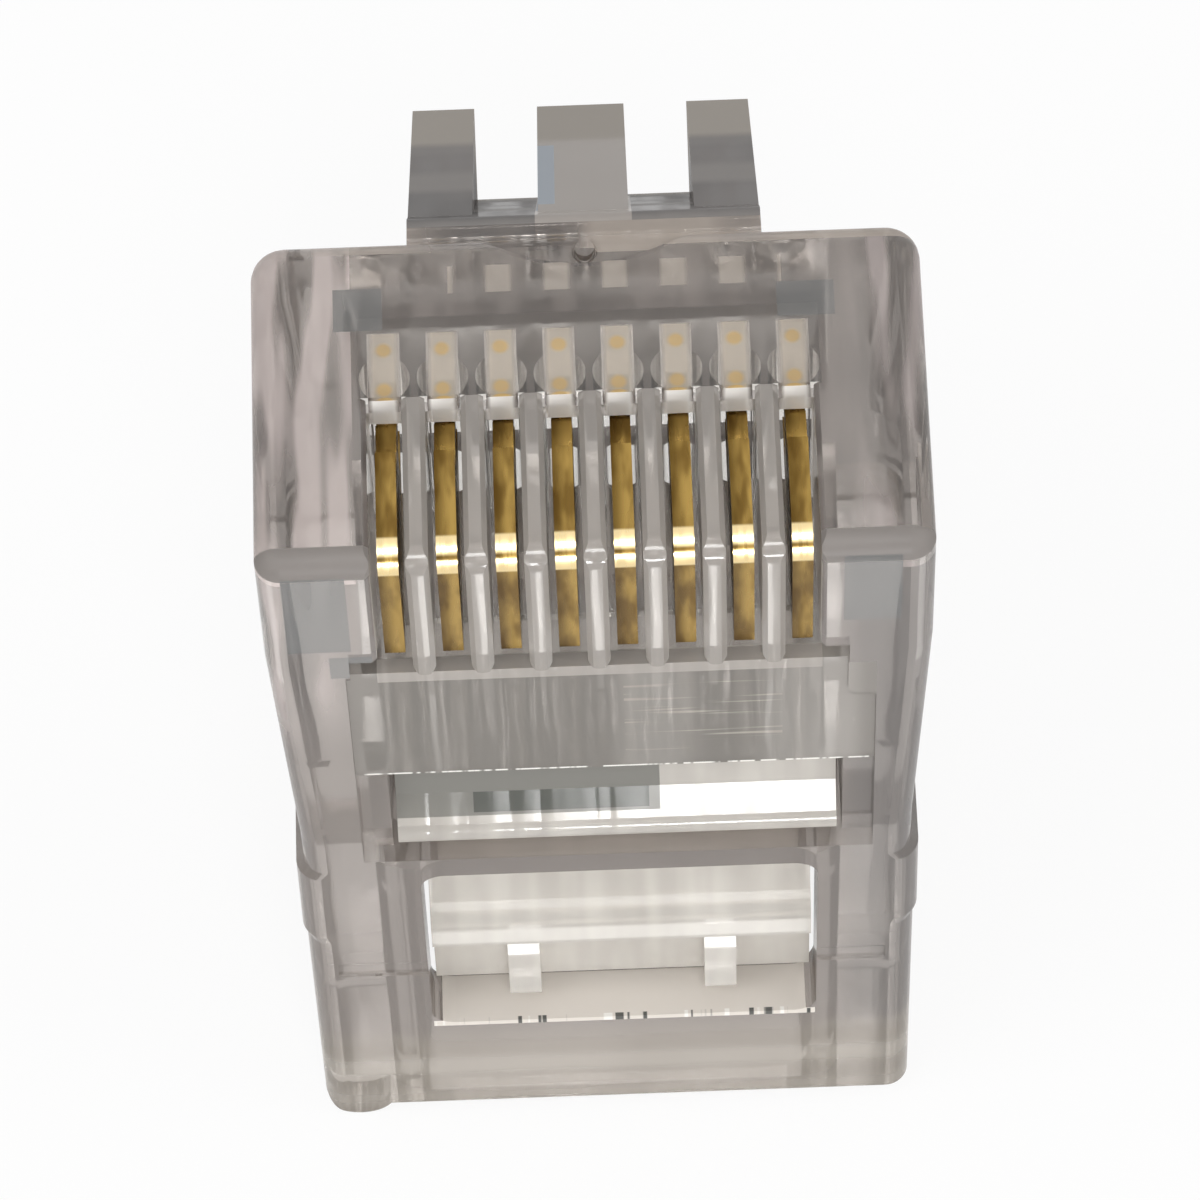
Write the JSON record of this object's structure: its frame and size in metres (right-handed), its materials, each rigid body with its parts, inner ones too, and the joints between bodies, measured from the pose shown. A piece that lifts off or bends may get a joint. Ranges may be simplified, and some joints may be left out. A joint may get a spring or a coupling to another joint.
{
  "type": "modular plug",
  "caption": "Clear plastic modular data plug with gold blade contacts, a spring latch lever, cable opening and crimp-in clamp bars; not yet fitted to a cable.",
  "frame": {"origin": "centre of the cable opening, in the plane of the plug's rear face", "axes": "+Z along the plug from the cable end to the nose; +Y from the contact side to the latch side; +X across the contacts"},
  "size_m": [0.0116, 0.014, 0.0218],
  "materials": {
    "clear_plastic": "clear, glossy, faintly smoky polycarbonate with moulding streaks",
    "gold_plate": "gold plated phosphor bronze, stamped edges"
  },
  "bodies": {
    "housing": {"housing": "clear_plastic"},
    "latch": {"latch_lever": "clear_plastic"},
    "conductor_clamp": {"conductor_clamp_bar": "clear_plastic"},
    "jacket_clamp": {"jacket_clamp_bar": "clear_plastic"},
    "blade_1": {"contact_1": "gold_plate"},
    "blade_2": {"contact_2": "gold_plate"},
    "blade_3": {"contact_3": "gold_plate"},
    "blade_4": {"contact_4": "gold_plate"},
    "blade_5": {"contact_5": "gold_plate"},
    "blade_6": {"contact_6": "gold_plate"},
    "blade_7": {"contact_7": "gold_plate"},
    "blade_8": {"contact_8": "gold_plate"}
  },
  "joints": [
    {"name": "latch_press", "type": "hinge", "parent": "housing", "child": "latch", "pos_m": [0, 0.0029, 0.02071], "axis": [-1, 0, 0], "range_deg": [0, 31], "stiffness_Nm_per_rad": 0.03},
    {"name": "conductor_clamp_press", "type": "hinge", "parent": "housing", "child": "conductor_clamp", "pos_m": [0, -0.00355, 0.01081], "axis": [-1, 0, 0], "range_deg": [0, 16]},
    {"name": "jacket_clamp_press", "type": "hinge", "parent": "housing", "child": "jacket_clamp", "pos_m": [0, -0.00265, 0.00946], "axis": [1, 0, 0], "range_deg": [0, 14]},
    {"name": "blade_1_crimp", "type": "slide", "parent": "housing", "child": "blade_1", "axis": [0, 1, 0], "range_m": [0, 0.00035]},
    {"name": "blade_2_crimp", "type": "slide", "parent": "housing", "child": "blade_2", "axis": [0, 1, 0], "range_m": [0, 0.00035]},
    {"name": "blade_3_crimp", "type": "slide", "parent": "housing", "child": "blade_3", "axis": [0, 1, 0], "range_m": [0, 0.00035]},
    {"name": "blade_4_crimp", "type": "slide", "parent": "housing", "child": "blade_4", "axis": [0, 1, 0], "range_m": [0, 0.00035]},
    {"name": "blade_5_crimp", "type": "slide", "parent": "housing", "child": "blade_5", "axis": [0, 1, 0], "range_m": [0, 0.00035]},
    {"name": "blade_6_crimp", "type": "slide", "parent": "housing", "child": "blade_6", "axis": [0, 1, 0], "range_m": [0, 0.00035]},
    {"name": "blade_7_crimp", "type": "slide", "parent": "housing", "child": "blade_7", "axis": [0, 1, 0], "range_m": [0, 0.00035]},
    {"name": "blade_8_crimp", "type": "slide", "parent": "housing", "child": "blade_8", "axis": [0, 1, 0], "range_m": [0, 0.00035]}
  ]
}
